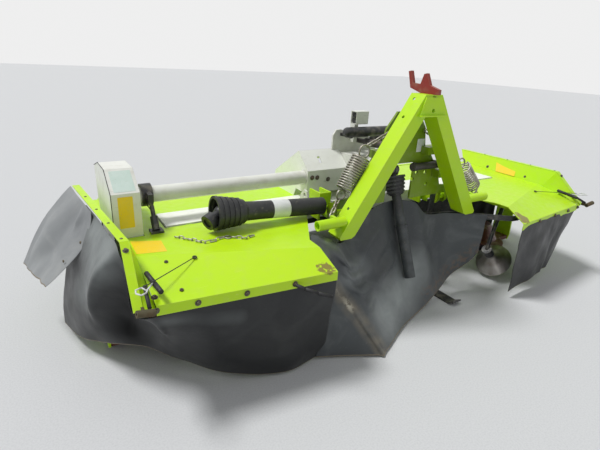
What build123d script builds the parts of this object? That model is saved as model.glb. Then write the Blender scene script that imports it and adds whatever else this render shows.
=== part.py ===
from build123d import *
import os

# Front disc mower, parked on its skids and stand, in millimetres.
# The machine's own frame: x = 0 on its centre line, +X right and +Y forward
# in the direction of mowing, z = 0 on the ground. Every piece is written
# moved by SHIFT, so that the model's box is centred on x = y = 0.

os.makedirs("parts", exist_ok=True)

# Driving dimensions
SHEET = 4.0                    # folded sheet steel
CLOTH = 6.0                    # skirt cloth, drawn a little thick
SIDE_X = 1400.0                # centre line to the rear end of a side flange's foot
FOOT_X = 1450.0                # the same along the belt box and on to the front
HOOD_Z = 550.0                 # top of the flat hood panels
CUT_Y = -150.0                 # cutter bar axis
BAR_TOP = 50.0
DISC_COUNT = 7
DISC_PITCH = 413.0
BAR_END = 269 + DISC_PITCH * (DISC_COUNT - 1) / 2   # the bar runs on past the end discs
DISC_Z = 64.0                  # underside of the disc plates
DISC_LONG, DISC_SHORT = 205.0, 138.0
DISC_TURN = 75.0               # rest angle of the odd discs; the even ones stand at 90 less this
BOLT_RING = 176.0              # knife bolts from the disc's axis
KNIFE_REACH = 262.0
SPINDLE = 14.0
BEAM_REAR, BEAM_FRONT = -160.0, 18.0
BEAM_LOW, BEAM_TOP = 472.0, 555.0
BEAM_END = 1208.0
TUBE_Y, TUBE_Z, TUBE_R = -55.0, 684.0, 38.0
BOX_OUT = 68 - BAR_END         # belt box, outer and inner faces
BOX_IN = BOX_OUT + 118
GUARD_Y, GUARD_Z = 395.0, 552.0      # front guard hinge
GUARD_END = SIDE_X - 5
LEG_REAR, LEG_FRONT = -556.0, -460.0   # coupling triangle legs
HEAD_REAR, HEAD_FRONT = -406.0, -394.0   # headstock plate
CROSS_Y, CROSS_Z = -345.0, 745.0     # universal joint at the gearbox
LINK_X = 385.0                 # centre line to a lower link
STAND_X, STAND_Y = 310.0, -360.0
FLANGE_FRONT = (1535.0, 372.0, 640.0)   # corners of the right flange's top edge
FLANGE_KINK = (1466.0, -498.0, 659.0)
FLANGE_REAR = (1476.0, -703.0, 478.0)
LEDGE = 31.0                             # flat top of a side flange
SHIFT = (130.373, 100.5)          # from the machine's frame to the written one

NODES = {}


def node(name, shape):
    """Keep a piece, one shape or a list of them, under its node's name."""
    NODES[name] = shape if isinstance(shape, list) else [shape]


def block(x, y, z):
    """Box from three (low, high) pairs."""
    sizes = [high - low for low, high in (x, y, z)]
    centre = [(low + high) / 2 for low, high in (x, y, z)]
    return Pos(*centre) * Box(*sizes)


def rod(start, end, radius, bore=0.0):
    """Round bar, or a tube where bore is over 0, between two points."""
    a, b = Vector(*start), Vector(*end)
    ring = Circle(radius) - Circle(bore) if bore else Circle(radius)
    return extrude(Plane(origin=a, z_dir=b - a) * ring, (b - a).length)


def turned(start, end, steps):
    """Turned piece: steps are (distance from start, radius) along a line."""
    a, b = Vector(*start), Vector(*end)
    plane = Plane(origin=a, z_dir=b - a)
    outline = [(0, steps[0][0])] + [(r, s) for s, r in steps] + [(0, steps[-1][0])]
    face = make_face(Plane.XZ * Polyline(*outline, close=True))
    return plane * revolve(face, Axis.Z)


def shell_of(start, end, steps, wall):
    """Open turned guard: the steps outside, and a wall's thickness inside."""
    a, b = Vector(*start), Vector(*end)
    plane = Plane(origin=a, z_dir=b - a)
    inner = [(r - wall, s) for s, r in reversed(steps)]
    outline = [(r, s) for s, r in steps] + inner
    face = make_face(Plane.XZ * Polyline(*outline, close=True))
    return plane * revolve(face, Axis.Z)


def prism_x(points, low, high):
    """Prism along X of a closed outline of (y, z) points."""
    plane = Plane(origin=(low, 0, 0), x_dir=(0, 1, 0), z_dir=(1, 0, 0))
    return extrude(plane * make_face(Polyline(*points, close=True)), high - low)


def prism_y(points, low, high):
    """Prism along Y of a closed outline of (x, z) points."""
    plane = Plane(origin=(0, high, 0), x_dir=(1, 0, 0), z_dir=(0, -1, 0))
    return extrude(plane * make_face(Polyline(*points, close=True)), high - low)


def prism_z(points, low, high):
    """Prism along Z of a closed outline of (x, y) points."""
    return extrude(Pos(0, 0, low) * make_face(Polyline(*points, close=True)), high - low)


def band(points, thick):
    """Closed outline of a folded strip: points on one face, mitred on the other."""
    offset_points = []
    for i, (x, y) in enumerate(points):
        normals = []
        for j, k in ((i - 1, i), (i, i + 1)):
            if 0 <= j and k < len(points):
                run = Vector(points[k][0] - points[j][0], points[k][1] - points[j][1])
                normals.append(Vector(-run.Y, run.X).normalized())
        total = normals[0] if len(normals) == 1 else normals[0] + normals[1]
        unit = total.normalized()
        reach = thick / unit.dot(normals[0])
        offset_points.append((x + unit.X * reach, y + unit.Y * reach))
    return list(points) + offset_points[::-1]


def panel(a, b, c, d, thick, toward):
    """Sheet panel with corners a, b, c, d, thickened towards a direction."""
    a, b, c, d = [Vector(*p) for p in (a, b, c, d)]
    normal = (c - a).cross(d - b).normalized()
    if normal.dot(Vector(*toward)) < 0:
        normal = normal * -1
    step = normal * thick
    first = Wire.make_polygon([a, b, b + step, a + step], close=True)
    second = Wire.make_polygon([d, c, c + step, d + step], close=True)
    return Solid.make_loft([first, second], ruled=True)


def hanging(stations):
    """Hung cloth: one ruled solid through stations of (top point, bottom point)."""
    wires = []
    for i, (top, bottom) in enumerate(stations):
        before = stations[max(i - 1, 0)][0]
        after = stations[min(i + 1, len(stations) - 1)][0]
        across = Vector(after[0] - before[0], after[1] - before[1], 0)
        side = Vector(-across.Y, across.X, 0).normalized() * CLOTH
        t, b = Vector(*top), Vector(*bottom)
        wires.append(Wire.make_polygon([t, t + side, b + side, b], close=True))
    return Solid.make_loft(wires, ruled=True)


def mirrored(shape):
    """The same piece on the other side of the centre line."""
    return mirror(shape, about=Plane.YZ)


def disc_x(i):
    return (i - (DISC_COUNT - 1) / 2) * DISC_PITCH


# Cutter bar, skids and discs

def cutter_bar():
    outline = [(CUT_Y - 62, 22), (CUT_Y + 50, 22), (CUT_Y + 80, 32), (CUT_Y + 66, BAR_TOP),
               (CUT_Y - 62, BAR_TOP)]
    bar = prism_x(outline, -BAR_END, BAR_END)
    for i in range(DISC_COUNT):
        bar += Pos(disc_x(i), CUT_Y, BAR_TOP + 3) * Cylinder(46, 6)
        bar += Pos(disc_x(i), CUT_Y, (BAR_TOP + DISC_Z - 1) / 2) * Cylinder(SPINDLE, DISC_Z - 1 - BAR_TOP)
    return bar


def skids():
    """Wear skids under the bar, one a disc, each turned up at nose and tail."""
    outline = band([(CUT_Y - 150, 20), (CUT_Y - 112, 0), (CUT_Y + 60, 0), (CUT_Y + 108, 22)], 7)
    plates = []
    for i in range(DISC_COUNT):
        x = disc_x(i)
        plate = prism_x(outline, x - 95, x + 95)
        plates.append(plate + block((x - 70, x + 70), (CUT_Y - 58, CUT_Y + 44), (6, 22)))
    return plates


def disc(i):
    """Oval disc on its hub, with a dished hat and two knives on their bolts."""
    drum = i in (0, DISC_COUNT - 1)
    hat_high, hat_top = (112, 60) if drum else (26, 58)
    shape = extrude(Ellipse(DISC_LONG, DISC_SHORT), 6)
    shape += Pos(0, 0, 5 + hat_high / 2) * Cone(122, hat_top, hat_high + 2)
    shape += Pos(0, 0, -3) * Cylinder(30, 8)
    shape -= Pos(0, 0, -4) * Cylinder(SPINDLE + 0.05, 8)
    for side in (-1, 1):
        shape += Pos(side * BOLT_RING, 0, 1) * Cylinder(15, 18)
        middle = (BOLT_RING - 24 + KNIFE_REACH) / 2
        shape += Pos(side * middle, 0, -3.5) * Box(KNIFE_REACH - BOLT_RING + 24, 46, 5)
    turn = 90 - DISC_TURN if i % 2 else DISC_TURN
    return Pos(disc_x(i), CUT_Y, DISC_Z) * Rot(0, 0, turn) * shape


node("cutter_bar", cutter_bar())
node("cutter_bar_skids", skids())
for n in range(DISC_COUNT):
    node(f"disc_{n + 1}", disc(n))


# Carrier beam, the plates that hold the bar's ends, and the drive along the top

def carrier_beam():
    outer = block((-BEAM_END, BEAM_END), (BEAM_REAR, BEAM_FRONT), (BEAM_LOW, BEAM_TOP))
    wall = 8
    inner = block((-BEAM_END, BEAM_END), (BEAM_REAR + wall, BEAM_FRONT - wall),
                  (BEAM_LOW + wall, BEAM_TOP - wall))
    return outer - inner


def end_plate():
    """Right-hand plate outside the end disc, from the bar up."""
    outline = [(-215, 20), (-85, 20), (-70, 60), (-70, 430), (-95, 462), (-180, 462), (-205, 430),
               (-225, 60)]
    return prism_x(outline, BAR_END, BAR_END + 12)


def belt_box():
    """Tall housing at the left end: belt down from the tube to the end gearbox."""
    outline = [(-215, 748), (-98, 828), (60, 824), (200, 782), (182, 620), (120, 480), (-40, 330),
               (-105, 300), (-190, 300), (-228, 335), (-228, 440), (-215, 500)]
    return prism_x(outline, BOX_OUT, BOX_IN)


def end_gearbox():
    """Bevel box over the left disc, hung under the beam's end."""
    x = disc_x(0)
    box = block((BOX_IN, x + 70), (CUT_Y - 65, CUT_Y + 65), (300, BEAM_LOW))
    return box + Pos(x, CUT_Y, 244) * Cylinder(52, 112)


node("carrier_beam", carrier_beam())
node("end_plate_right", end_plate() + block((1120, BAR_END), (-150, -70), (400, BEAM_LOW)))
node("end_plate_left", mirrored(end_plate()) + block((-BAR_END, BOX_OUT), (-180, -110), (350, 440)))
node("belt_box", belt_box())
node("end_gearbox", end_gearbox())
node("drive_tube", rod((BOX_IN, TUBE_Y, TUBE_Z), (-120, TUBE_Y, TUBE_Z), TUBE_R, TUBE_R - 5))


def tube_clamp():
    ring = rod((-1290, TUBE_Y, TUBE_Z), (-1242, TUBE_Y, TUBE_Z), 53, TUBE_R + 0.3)
    lug = block((-1276, -1256), (TUBE_Y - 98, TUBE_Y - 46), (662, 712))
    return ring + lug - rod((-1280, -135, 688), (-1250, -135, 688), 9)


def tensioner():
    """Short damper from the clamp's eye to a foot on the hood."""
    body = turned((-1262, -196, 560), (-1262, -142, 655), [(0, 17), (62, 17), (62, 10), (111, 10)])
    foot = block((-1290, -1234), (-222, -172), (550, 560))
    return body + foot


node("tube_clamp", tube_clamp())
node("tensioner", tensioner())


# Centre gearbox with its cover, tower and headstock

def centre_gearbox():
    box = block((-120, 120), (-150, 2), (BEAM_TOP, 800))
    return box + rod((0, -150, CROSS_Z), (0, -232, CROSS_Z), 58)


def centre_cover():
    """Bent sheet over the tube's inner end, with a gable round the tube."""
    fold = [(-100, 598), (-100, 728), (8, 822), (270, 650)]
    skin = prism_x(band(fold, -SHEET), -400, -122)
    gable = prism_x(fold + [(262, HOOD_Z), (40, HOOD_Z), (20, 598)], -400, -396)
    slot = Pos(-290, -46, 775) * Rot(41, 0, 0) * Box(16, 44, 40)
    tower_room = block((-174, -110), (0, 300), (HOOD_Z, 900))
    return skin + gable - rod((-410, TUBE_Y, TUBE_Z), (-380, TUBE_Y, TUBE_Z), TUBE_R + 3) - slot - tower_room


def tower():
    outline = [(-170, BEAM_TOP), (-170, 900), (-150, 930), (-120, 932), (165, 862), (170, BEAM_TOP)]
    return prism_y(outline, 2, 14)


def headstock():
    """Plate between the triangle's legs, open in the middle for the drive shaft."""
    right = [(75, 1085), (140, 1000), (160, 900), (215, 850), (300, 740), (330, 660), (430, 650), (430, 605),
             (95, 605), (95, 812)]
    outline = [(-x, z) for x, z in right[::-1]] + right
    plate = prism_y(outline, HEAD_REAR, HEAD_FRONT)
    for x, z in ((123, 752), (192, 747), (290, 715), (100, 714), (213, 676)):
        for side in (-1, 1):
            plate -= rod((side * x, HEAD_REAR - 1, z), (side * x, HEAD_FRONT + 1, z), 11)
    for side in (-1, 1):
        for x in (side * LINK_X - 32, side * LINK_X + 32):
            ear = [(HEAD_REAR, 640), (-345, 625), (-330, 590), (-345, 535), (-385, 535), (HEAD_REAR, 560)]
            plate += prism_x(ear, x - 5, x + 5)
        plate += rod((side * LINK_X - 40, -366, 578), (side * LINK_X + 40, -366, 578), 9)
        for low, high, bottom, top in ((245, 284, 720, 765), (130, 230, 860, 900)):
            x = (side * low, side * high) if side > 0 else (-high, -low)
            plate += block(x, (LEG_FRONT, HEAD_FRONT), (bottom, top))
        plate += block((side * 128 - 9, side * 128 + 9), (HEAD_REAR - 6, HEAD_REAR), (974, 996))
        x = (60, 262) if side > 0 else (-262, -60)
        plate += block((side * 236 - 6, side * 236 + 6), (-432, HEAD_REAR), (768, 816))
        plate -= rod((x[0], -430, 792), (x[1], -430, 792), 20.05)
    return plate


def cross_shaft(side):
    """Short shaft behind the headstock's opening, with a collar at its inner end."""
    return turned((side * 60, -430, 792), (side * 256, -430, 792), [(0, 23), (24, 23), (24, 20), (196, 20)])


def lower_link(side):
    """Flat bar with an eye at each end, headstock to beam."""
    x = side * LINK_X
    bar = prism_x([(-372, 560), (-372, 596), (-190, 545), (-190, 509)], x - 9, x + 9)
    for y, z in ((-366, 578), (-196, 528)):
        bar += rod((x - 26, y, z), (x + 26, y, z), 24)
        bar -= rod((x - 27, y, z), (x + 27, y, z), 9.05)
    return bar


def beam_ears(side):
    """Two ears on the beam with the lower link's pin, and a web across their tops."""
    x = side * LINK_X
    shape = rod((x - 40, -196, 528), (x + 40, -196, 528), 9)
    for at in (x - 32, x + 32):
        ear = [(BEAM_REAR, 500), (BEAM_REAR, 650), (-262, 650), (-262, 500)]
        shape += prism_x(ear, at - 5, at + 5)
    return shape + block((x - 32, x + 32), (-262, -256), (578, 650))


node("centre_gearbox", centre_gearbox())
node("centre_cover", centre_cover())
node("tower", tower())
node("headstock", headstock())
node("lower_links", [lower_link(-1), lower_link(1)])
node("cross_shafts", [cross_shaft(-1), cross_shaft(1)])
node("beam_ears", [beam_ears(-1), beam_ears(1)])
node("upper_link", turned((0, HEAD_FRONT + 1, 885), (0, 2, 866),
                          [(0, 14), (90, 14), (90, 22), (300, 22), (300, 14), (394, 14)]))
node("accumulator", turned((-172, -100, 932), (212, -100, 930),
                           [(0, 12), (8, 24), (20, 29), (362, 29), (376, 24), (384, 12)])
     + block((-120, -105), (-100, 2), (896, 912)) + block((110, 125), (-100, 2), (850, 908)))
node("hose_holder", block((-82, 6), (-88, -36), (972, 1044)) - block((-90, 20), (-84, -40), (976, 1040))
     + block((-50, -24), (-38, 2), (860, 1000)))


# Coupling triangle with its catch

def leg():
    """Right leg: folded channel, open to the front."""
    outline = [(10, 1124), (350, 600), (404, 518), (424, 506), (490, 506), (497, 520), (442, 600),
               (57, 1182), (10, 1182)]
    face = make_face(Polyline(*outline, close=True))
    plane = Plane(origin=(0, LEG_FRONT, 0), x_dir=(1, 0, 0), z_dir=(0, -1, 0))
    full = extrude(plane * face, LEG_FRONT - LEG_REAR)
    hollow = extrude(plane * offset(face, amount=-7), LEG_FRONT - LEG_REAR - 7)
    return full - hollow


def triangle():
    top = prism_y([(-58, 1170), (58, 1170), (88, 1085), (-88, 1085)], LEG_REAR - 8, LEG_REAR + 8)
    shelf = block((-90, 90), (LEG_REAR - 24, LEG_REAR + 8), (1081, 1087))
    cap = block((-56, 56), (LEG_REAR, LEG_FRONT), (1174, 1182))
    shape = leg() + mirrored(leg()) + top + shelf + cap
    shape -= rod((0, LEG_REAR - 10, 1108), (0, LEG_REAR + 9, 1108), 10)
    for side in (-1, 1):
        for z in (1158, 1073, 641):
            x = side * (442 - (z - 600) * 385 / 582)
            shape -= rod((x + side * 12, -496, z + 8), (x - side * 12, -496, z - 8), 8)
        shape += rod((side * 455, -525, 590), (side * 612, -525, 590), 25)
        shape -= rod((side * 580, -525, 590), (side * 613, -525, 590), 19)
        low, high = sorted((side * 497, side * 513))
        shape += block((low, high), (-525, -486), (588, 616))
    return shape


def catch():
    """Forked catch standing on the triangle's top."""
    outline = [(-585, 1182), (-585, 1206), (-524, 1222), (-496, 1276), (-478, 1272), (-462, 1224),
               (-412, 1226), (-390, 1283), (-372, 1279), (-398, 1202), (-470, 1182)]
    return prism_x(outline, -9, 9)


node("triangle", triangle())
node("catch", catch())


# Springs with their chains

SPRINGS = {   # lower end, upper end, lower anchor, upper anchor
    "left": ((-386, -412, 711), (-295, -412, 867), (-505, -478, 603), (-128, -420.3, 985)),
    "right": ((646, -412, 614), (510, -412, 749), (704, -412, 557), (128, -420.3, 985)),
}


def spring(low, high):
    """Closed coil as a grooved tube with an eye plate at each end."""
    run = Vector(*high) - Vector(*low)
    length = run.length
    step = run.normalized() * 6
    turns = 7
    steps = []
    for i in range(turns):
        at = length * i / turns
        steps += [(at, 42), (at + length / turns / 2, 47)]
    steps.append((length, 41))
    ends = rod(low, Vector(*low) + step, 38) + rod(Vector(*high) - step, high, 38)
    return shell_of(low, high, steps, 12) + ends


def chain(anchor, end, axis):
    """Straight stand-in for a chain, stopping just short of a spring's end plate."""
    anchor, end = Vector(*anchor), Vector(*end)
    radius = 8
    slant = abs((anchor - end).normalized().dot(axis))
    room = radius * (1 - min(slant, 1.0) ** 2) ** 0.5 + 0.1
    return rod(anchor, end + (anchor - end).normalized() * room, radius)


for name, (low, high, foot, head) in SPRINGS.items():
    node(f"spring_{name}", spring(low, high))
    axis = (Vector(*high) - Vector(*low)).normalized()
    node(f"spring_chains_{name}", [chain(foot, low, axis), chain(head, high, axis)])


# Drive shaft halves

def guard_steps(start, big, small, ribs, pitch):
    """Ribbed cone of a shaft guard, as (distance, radius) steps."""
    steps = []
    for i in range(ribs):
        radius = big + (small - big) * i / (ribs - 1)
        at = start + i * pitch
        steps += [(at, radius), (at + pitch * 0.55, radius), (at + pitch * 0.6, radius - 7),
                  (at + pitch * 0.95, radius - 7)]
    return steps


def shaft_hanging():
    """Shaft half on the gearbox, hanging with its open end down."""
    top, end = Vector(0, CROSS_Y, CROSS_Z), Vector(0, -588, 207)
    length = (end - top).length
    run = (end - top).normalized()
    cone = shell_of(top, end, guard_steps(22, 66, 50, 5, 20), 14)
    tube = turned(top + run * 112, end, [(0, 36), (14, 36), (14, 26), (184, 26), (184, 33), (200, 33),
                                         (200, 30), (length - 112, 30)])
    yoke = rod(top + run * 30, top + run * 113, 24)
    cross = rod((-30, CROSS_Y, CROSS_Z), (30, CROSS_Y, CROSS_Z), 9)
    cheeks = Plane(origin=top, x_dir=(1, 0, 0), z_dir=run) * (Pos(0, 0, 16) * Box(16, 40, 32))
    socket = rod(end - run * 120, end + run, 20)
    return cone + tube + yoke + cross + cheeks - socket


def shaft_stowed():
    """Loose half lying across the beam's rear edge and the hood, yoke outwards."""
    a, b = Vector(-1026, -296, 637), Vector(-440, -314, 602)
    run = (b - a).normalized()
    cone = shell_of(a, b, guard_steps(0, 80, 66, 5, 26), 12)
    core = turned(a + run * 30, b, [(0, 30), (88, 30), (88, 58), (108, 58), (124, 46), (200, 44), (246, 44),
                                    (556, 44)])
    knee, end = a + run * 34, Vector(-1108, -340, 592)
    fork = turned(knee, end, [(0, 27), (44, 27), (50, 37), (88, 37)])
    mouth = rod(Vector(knee) + (end - knee) * 0.62, end + (end - knee).normalized(), 22)
    ball = Plane(origin=knee, z_dir=run) * Sphere(36)
    return cone + core + fork + ball - mouth


def shaft_rest():
    """Bracket behind the beam that the stowed half lies against, with a lug above it."""
    outline = [(-162, 556), (-186, 640), (-214, 668), (-240, 662), (-254, 630), (-250, 592), (-254, 556)]
    plate = prism_x(outline, -494, -486)
    return plate - rod((-500, -222, 640), (-480, -222, 640), 11)


node("shaft_hanging", shaft_hanging())
node("shaft_stowed", shaft_stowed())
node("shaft_rest", shaft_rest())


def input_yoke():
    """Gearbox shaft with its yoke: two ears round the cross."""
    shape = rod((0, -232, CROSS_Z), (0, -310, CROSS_Z), 26)
    shape += block((-32, 32), (-318, -302), (CROSS_Z - 15, CROSS_Z + 15))
    for low in (-32, 20):
        shape += block((low, low + 12), (CROSS_Y, -302), (CROSS_Z - 15, CROSS_Z + 15))
        shape += rod((low, CROSS_Y, CROSS_Z), (low + 12, CROSS_Y, CROSS_Z), 15)
    return shape - rod((-33, CROSS_Y, CROSS_Z), (33, CROSS_Y, CROSS_Z), 9.05)


node("input_yoke", input_yoke())


# Hoods, front panel and front guard

def shifted(point):
    """Point on a flange's outer edge, moved to the inner edge of its flat top."""
    return point[0] - LEDGE - 2, point[1], point[2]


def hood():
    """Right hood: flat panel, sloping rear panel, lip and leaning side flange."""
    crease_in, crease_out = (680, -652, HOOD_Z), (SIDE_X, -410, HOOD_Z)
    rear_in, rear_out = (667, -778, 487), (SIDE_X, -707, 487)
    flat = prism_z([(444, -168), (676, -564), crease_in[:2], crease_out[:2], (FOOT_X, 372),
                    (BEAM_END + 8, 372), (BEAM_END + 8, -168)], HOOD_Z - SHEET, HOOD_Z)
    slope = panel(crease_in, crease_out, rear_out, rear_in, SHEET, (0, 0, -1))
    lip = panel(rear_in, rear_out, (SIDE_X, -707, 446), (667, -778, 446), SHEET, (0, 1, 0))
    top_front, top_kink, top_rear = FLANGE_FRONT, FLANGE_KINK, FLANGE_REAR
    edge = [(x - LEDGE, y, z - 2) for x, y, z in (top_front, top_kink, top_rear)]
    foot = [(FOOT_X - 4, 285, 546), (SIDE_X - 2, -440, 546), (SIDE_X - 2, -705, 462)]
    side = panel(foot[0], foot[1], edge[1], edge[0], SHEET, (1, 0, -1))
    tail = panel(foot[1], foot[2], edge[2], edge[1], SHEET, (1, 0, -1))
    ledge = panel(shifted(top_front), shifted(top_kink), top_kink, top_front, SHEET, (0, 0, -1))
    rear_ledge = panel(shifted(top_kink), shifted(top_rear), top_rear, top_kink, SHEET, (0, 1, -1))
    return flat + slope + lip + side + tail + ledge + rear_ledge


def hood_arms(x_list):
    """Square arms under a hood, beam to rear lip."""
    arms = []
    for x in x_list:
        crease = -652 + (abs(x) - 680) * 0.336
        rear = -778 + (abs(x) - 667) * 0.097
        tail = 481 + 17 * 63 / (crease - rear)
        outline = [(BEAM_REAR, 546), (crease + 8, 546), (rear + 17, tail), (rear + 17, 456),
                   (crease, 510), (BEAM_REAR, 510)]
        arms.append(prism_x(outline, x - 15, x + 15))
    return arms


box_room = prism_x([(-219, 900), (-219, 500), (182, 500), (182, 900)], BOX_OUT - 4, BOX_IN + 4)
node("hood_right", hood())
node("hood_left", mirrored(hood()) - box_room)
node("hood_arms_right", hood_arms((760, 1100)))
node("hood_arms_left", hood_arms((-760, -1100)))


def latch(side):
    """Rubber pull latch over the flange's rear corner."""
    bar = rod((side * 1394, -557, 543), (side * 1377, -700, 533), 8)
    arm = rod((side * 1392, -636, 541), (side * 1448, -672, 541), 5)
    ring = turned((side * 1458, -690, 533), (side * 1458, -690, 545), [(0, 20), (12, 20)])
    ring -= rod((side * 1458, -690, 530), (side * 1458, -690, 548), 11)
    return bar + arm + ring


def latch_pivot(side):
    """Threaded pivot behind the flange's rear end, on a small plate."""
    tube = rod((side * 1416, -752, 492), (side * 1476, -758, 505), 13, 5)
    low, high = sorted((side * 1442, side * 1452))
    return tube + block((low, high), (-745, -707), (478, 497))


node("latches", [latch(-1), latch(1)])
node("latch_pivots", [latch_pivot(-1), latch_pivot(1)])

KNUCKLES = (-1000, -330, 330, 1000)


def hood_front():
    """Panel in front of the beam, with the fixed hinge knuckles."""
    front = GUARD_Y - 15
    fold = [(BEAM_FRONT, HOOD_Z), (front, HOOD_Z), (front, HOOD_Z - 45)]
    shape = prism_x(band(fold, -SHEET), -BEAM_END, BEAM_END)
    for x in KNUCKLES:
        for at in (x - 46, x + 24):
            shape += block((at, at + 22), (front - 8, GUARD_Y), (GUARD_Z - 9, GUARD_Z - 2))
            shape += rod((at, GUARD_Y, GUARD_Z), (at + 22, GUARD_Y, GUARD_Z), 9)
        shape += rod((x - 46, GUARD_Y, GUARD_Z), (x + 46, GUARD_Y, GUARD_Z), 4)
        shape += block((x - 14, x + 14), (BEAM_FRONT, front - 2), (512, HOOD_Z - 2))
    return shape


def front_guard():
    """Folding guard: sloping panel with a turned-down edge and end gussets."""
    rear, crease, front = GUARD_Y + 9, GUARD_Y + 37, GUARD_Y + 245
    top, edge, hem = GUARD_Z - 6, GUARD_Z - 82, GUARD_Z - 147
    fold = [(rear, top), (crease, top), (front, edge), (front, hem)]
    shape = prism_x(band(fold, -SHEET), -GUARD_END, GUARD_END)
    for x in (-GUARD_END, GUARD_END - SHEET):
        shape += prism_x(fold + [(rear, GUARD_Z - 52)], x, x + SHEET)
    for x in KNUCKLES:
        shape += block((x - 20, x + 20), (GUARD_Y, rear + 6), (GUARD_Z - 9, GUARD_Z - 5))
        shape += rod((x - 20, GUARD_Y, GUARD_Z), (x + 20, GUARD_Y, GUARD_Z), 9)
        shape -= rod((x - 21, GUARD_Y, GUARD_Z), (x + 21, GUARD_Y, GUARD_Z), 4.05)
    return shape


node("hood_front", hood_front())
node("front_guard", front_guard())


# Skirts, each through stations of (top point, bottom point)

SKIRTS = {
    "skirt_rear_left": [
        ((-662, -768, 478), (-650, -700, 10)), ((-830, -752, 478), (-820, -736, 10)),
        ((-1000, -735, 478), (-990, -702, 12)), ((-1200, -716, 478), (-1144, -641, 20)),
        ((-1385, -698, 440), (-1260, -562, 44)), ((-1405, -702, 440), (-1300, -530, 56)),
        ((-1470, -680, 456), (-1370, -454, 84)), ((-1464, -640, 514), (-1415, -405, 90)),
        ((-1463, -500, 636), (-1510, -317, 90)), ((-1483, -200, 636), (-1612, -190, 60)),
        ((-1507, 55, 636), (-1680, 50, 40))],
    "skirt_centre": [
        ((-690, -703, 503), (-690, -674, 8)), ((-560, -606, 503), (-560, -730, 8)),
        ((-400, -489.6, 503), (-388, -855, 4)), ((-200, -438, 503), (-200, -745, 8)),
        ((0, -402, 503), (20, -614, 8)), ((140, -422, 503), (140, -614, 50)),
        ((285, -454, 503), (270, -608, 158)), ((400, -489.6, 503), (400, -602, 185)),
        ((510, -571, 503), (520, -604, 235)), ((560, -606, 503), (545, -607, 280))],
    "skirt_rear_right": [
        ((665, -773, 478), (668, -782, 40)), ((1000, -740.5, 478), (1000, -744, 60)),
        ((1388, -702.5, 470), (1210, -700, 66))],
    "skirt_side_right": [
        ((1498, -52, 632), (1532, -45, 60)), ((1513, 150, 630), (1542, 150, 40)),
        ((1526, 358, 624), (1550, 345, 60))],
}
for name, stations in SKIRTS.items():
    node(name, hanging(stations))
node("skirt_flap_left", panel((-1537.7, 362, 638.9), (-1806, 265, 300), (-1728, -30, 300),
                              (-1514.7, 72, 642.9), CLOTH, (-1, 0, 1)))
node("skirt_front", hanging([((x, 640, 470), (x, 648, 60)) for x in (-1390, 0, 1390)]))


def skirt_rail():
    """Bent flat bar between the hoods that the centre skirt hangs from."""
    right = [(140, -413), (285, -444), (400, -481), (560, -597), (690, -692), (744, -698)]
    plan = [(-x, y) for x, y in right[::-1]] + [(0, -393)] + right
    return prism_z(band(plan, 5), 470, 503)


node("skirt_rail", skirt_rail())


# Swath discs behind the bar, and the parking stand

RIM, AXLE = (850, -540, 108), (-0.755, -0.1, 0.648)   # rim's centre and axis, right side


def along(side, reach):
    """Point on a swath disc's axle."""
    return tuple((1 if i else side) * (RIM[i] + AXLE[i] * reach) for i in range(3))


def swath_disc(side):
    steps = [(0, 111), (9, 113), (50, 62), (84, 26), (108, 24), (108, 14), (164, 14)]
    return turned(along(side, 0), along(side, 164), steps)


def swath_arm(side):
    """Bearing on the axle, and a bent arm up to a plate under the hood."""
    knee, top = (side * 730, -556, 300), (side * 890, -500, 532)
    arm = rod(along(side, 114), along(side, 186), 30)
    arm -= rod(along(side, 113), along(side, 174), 14.06)
    arm += rod(along(side, 180), knee, 12) + rod(knee, top, 12) + Pos(*knee) * Sphere(12)
    low, high = sorted((side * 860, side * 920))
    return arm + block((low, high), (-530, -470), (526, 546))


for side, name in ((-1, "left"), (1, "right")):
    node(f"swath_disc_{name}", swath_disc(side))
    node(f"swath_arm_{name}", swath_arm(side))


def stand_sleeve():
    """Square sleeve hung from the headstock's lower edge."""
    hole = 20.08
    outer = block((STAND_X - 30, STAND_X + 30), (STAND_Y - 30, STAND_Y + 30), (330, 450))
    strap = block((STAND_X - 20, STAND_X + 20), (HEAD_FRONT, HEAD_FRONT + 8), (360, 645))
    inner = block((STAND_X - hole, STAND_X + hole), (STAND_Y - hole, STAND_Y + hole), (329, 451))
    return outer + strap - inner


def parking_stand():
    front, rear = STAND_Y + 20, STAND_Y - 20
    cranked = [(front, 460), (front, 205), (front - 100, 8), (rear - 100, 8), (rear, 205), (rear, 460)]
    leg_bar = prism_x(cranked, STAND_X - 20, STAND_X + 20)
    foot = prism_x(band([(-425, 0), (-660, 0), (-700, 22)], -9), STAND_X - 35, STAND_X + 35)
    return leg_bar + foot


node("stand_sleeve", stand_sleeve())
node("parking_stand", parking_stand())


for name, shapes in NODES.items():
    moved = []
    for shape in shapes:
        for solid in shape.solids():
            moved.append(Pos(SHIFT[0], SHIFT[1], 0) * solid)
    export_step(moved[0] if len(moved) == 1 else Compound(children=moved), f"parts/{name}.step")
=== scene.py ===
import math
import random

import bmesh
import bpy
from mathutils import Matrix, Vector, noise


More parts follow.
